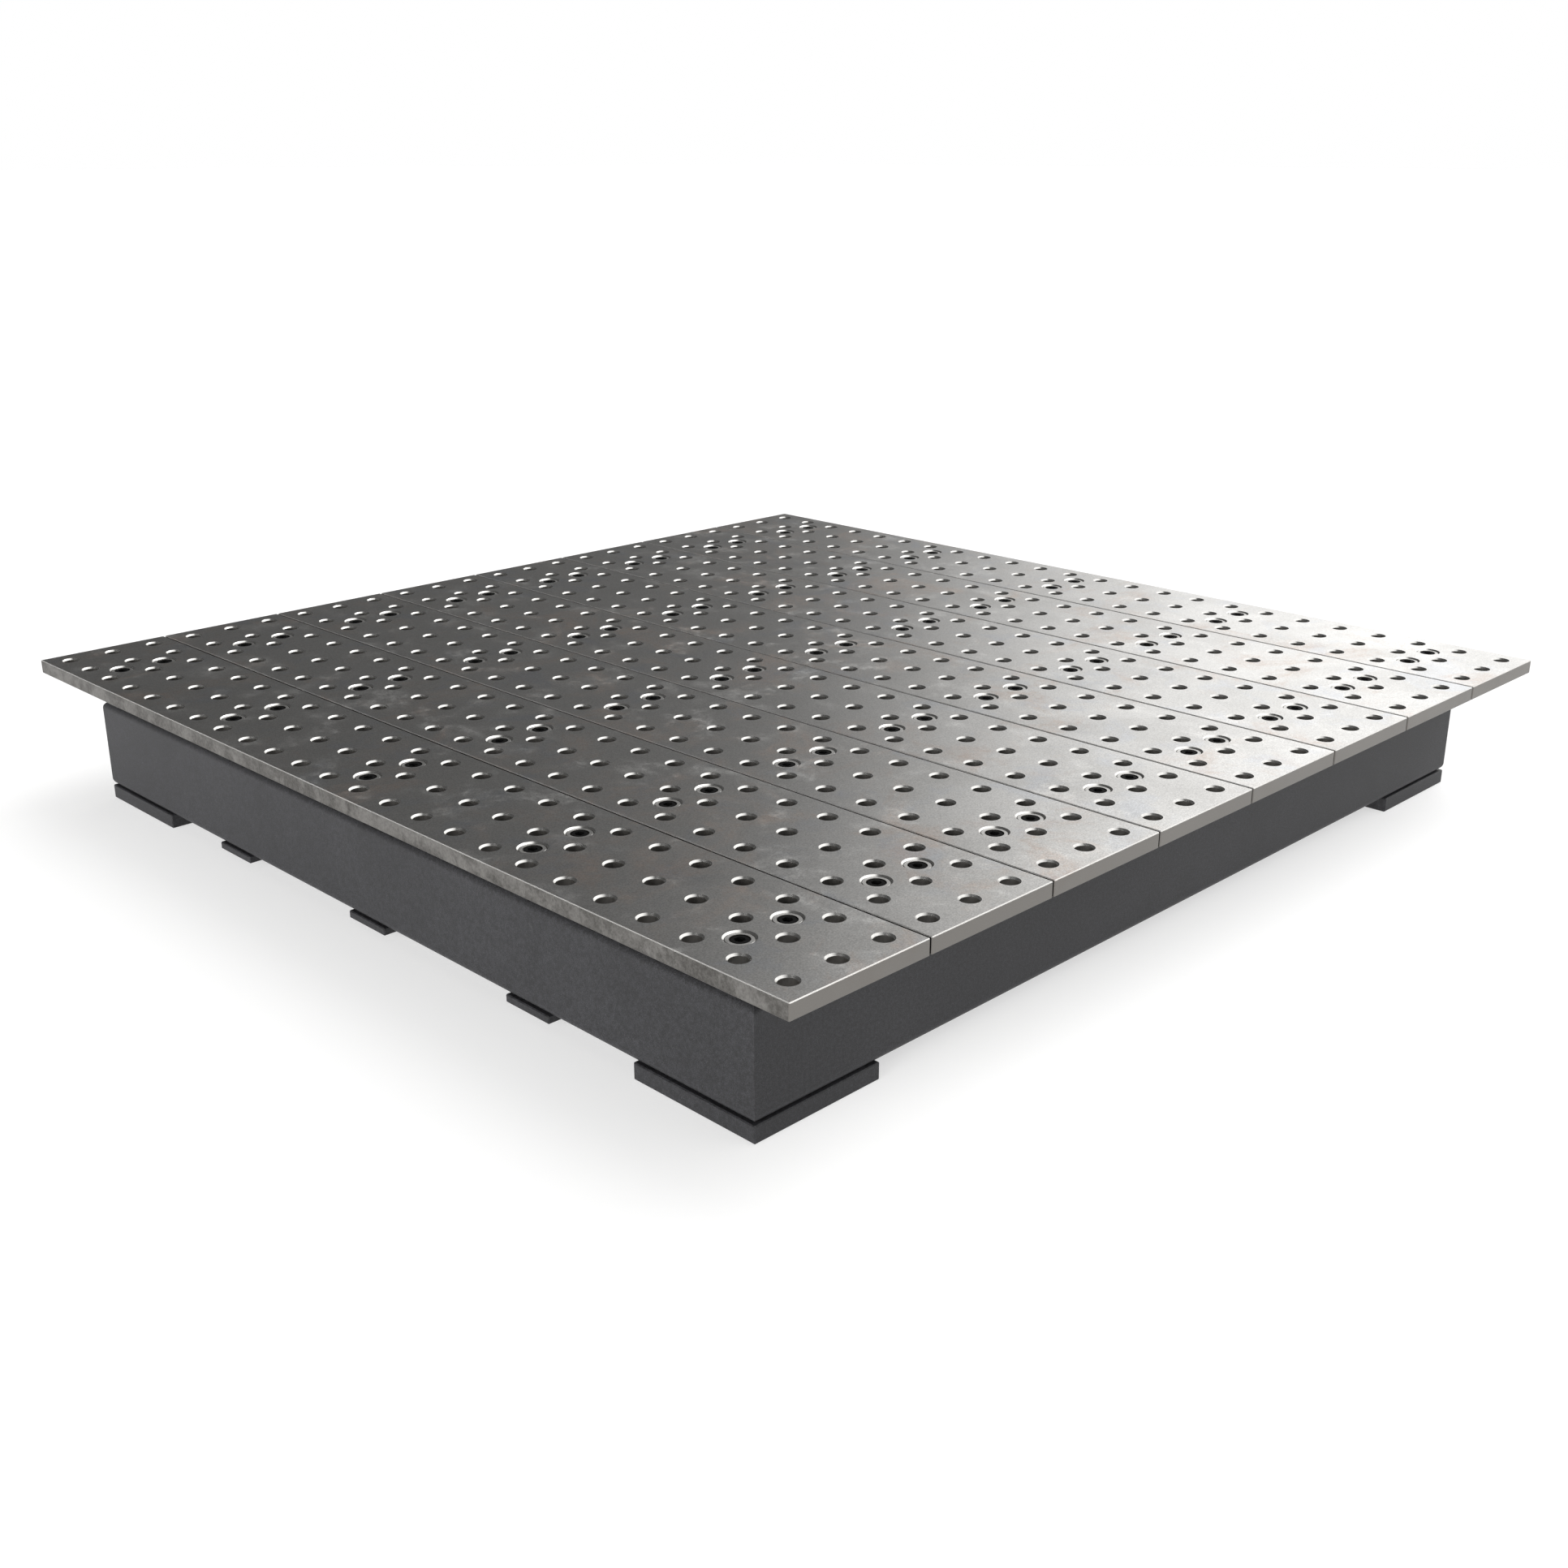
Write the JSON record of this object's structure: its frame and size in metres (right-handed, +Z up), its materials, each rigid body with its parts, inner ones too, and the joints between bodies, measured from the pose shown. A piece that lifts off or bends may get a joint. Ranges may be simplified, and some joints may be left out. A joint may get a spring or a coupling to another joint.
{
  "type": "modular welding table",
  "caption": "Low modular welding table: drilled steel top plates on levelling bushings, bolted to rails on a mitred tube frame with flat pads.",
  "frame": {"origin": "middle of the footprint, on the floor under the pads", "axes": "+Z up, +X across the eight plates, +Y along the plates"},
  "size_m": [1.198, 1.2, 0.157],
  "materials": {
    "plate_steel": "bare ground steel, satin, with faint handling stains",
    "bushing_zinc": "turned and zinc plated, bright",
    "screw_black": "black oxide, slightly oily",
    "frame_paint": "dark grey fine-textured powder coat, matt",
    "pad_paint": "dark grey fine-textured powder coat, matt"
  },
  "bodies": {
    "frame": {"side_tube_left": "frame_paint", "side_tube_right": "frame_paint", "end_tube_front": "frame_paint", "end_tube_back": "frame_paint", "cross_tube_1": "frame_paint", "cross_tube_2": "frame_paint", "cross_tube_3": "frame_paint", "support_rail_1": "frame_paint", "support_rail_2": "frame_paint", "support_rail_3": "frame_paint", "support_rail_4": "frame_paint", "support_rail_5": "frame_paint", "corner_pad_front_left": "pad_paint", "corner_pad_back_left": "pad_paint", "corner_pad_front_right": "pad_paint", "corner_pad_back_right": "pad_paint", "middle_pad_left_1": "pad_paint", "middle_pad_left_2": "pad_paint", "middle_pad_left_3": "pad_paint", "middle_pad_right_1": "pad_paint", "middle_pad_right_2": "pad_paint", "middle_pad_right_3": "pad_paint", "levelling_bushings_1": "bushing_zinc", "levelling_bushings_2": "bushing_zinc", "levelling_bushings_3": "bushing_zinc", "levelling_bushings_4": "bushing_zinc", "levelling_bushings_5": "bushing_zinc", "levelling_bushings_6": "bushing_zinc", "levelling_bushings_7": "bushing_zinc", "levelling_bushings_8": "bushing_zinc", "clamp_screws_1": "screw_black", "clamp_screws_2": "screw_black", "clamp_screws_3": "screw_black", "clamp_screws_4": "screw_black", "clamp_screws_5": "screw_black", "clamp_screws_6": "screw_black", "clamp_screws_7": "screw_black", "clamp_screws_8": "screw_black"},
    "plate_1": {"top_plate_1": "plate_steel"},
    "plate_2": {"top_plate_2": "plate_steel"},
    "plate_3": {"top_plate_3": "plate_steel"},
    "plate_4": {"top_plate_4": "plate_steel"},
    "plate_5": {"top_plate_5": "plate_steel"},
    "plate_6": {"top_plate_6": "plate_steel"},
    "plate_7": {"top_plate_7": "plate_steel"},
    "plate_8": {"top_plate_8": "plate_steel"}
  },
  "joints": [
    {"name": "plate_1_levelling", "type": "slide", "parent": "frame", "child": "plate_1", "axis": [0, 0, 1], "range_m": [0, 0.004]},
    {"name": "plate_2_levelling", "type": "slide", "parent": "frame", "child": "plate_2", "axis": [0, 0, 1], "range_m": [0, 0.004]},
    {"name": "plate_3_levelling", "type": "slide", "parent": "frame", "child": "plate_3", "axis": [0, 0, 1], "range_m": [0, 0.004]},
    {"name": "plate_4_levelling", "type": "slide", "parent": "frame", "child": "plate_4", "axis": [0, 0, 1], "range_m": [0, 0.004]},
    {"name": "plate_5_levelling", "type": "slide", "parent": "frame", "child": "plate_5", "axis": [0, 0, 1], "range_m": [0, 0.004]},
    {"name": "plate_6_levelling", "type": "slide", "parent": "frame", "child": "plate_6", "axis": [0, 0, 1], "range_m": [0, 0.004]},
    {"name": "plate_7_levelling", "type": "slide", "parent": "frame", "child": "plate_7", "axis": [0, 0, 1], "range_m": [0, 0.004]},
    {"name": "plate_8_levelling", "type": "slide", "parent": "frame", "child": "plate_8", "axis": [0, 0, 1], "range_m": [0, 0.004]}
  ]
}
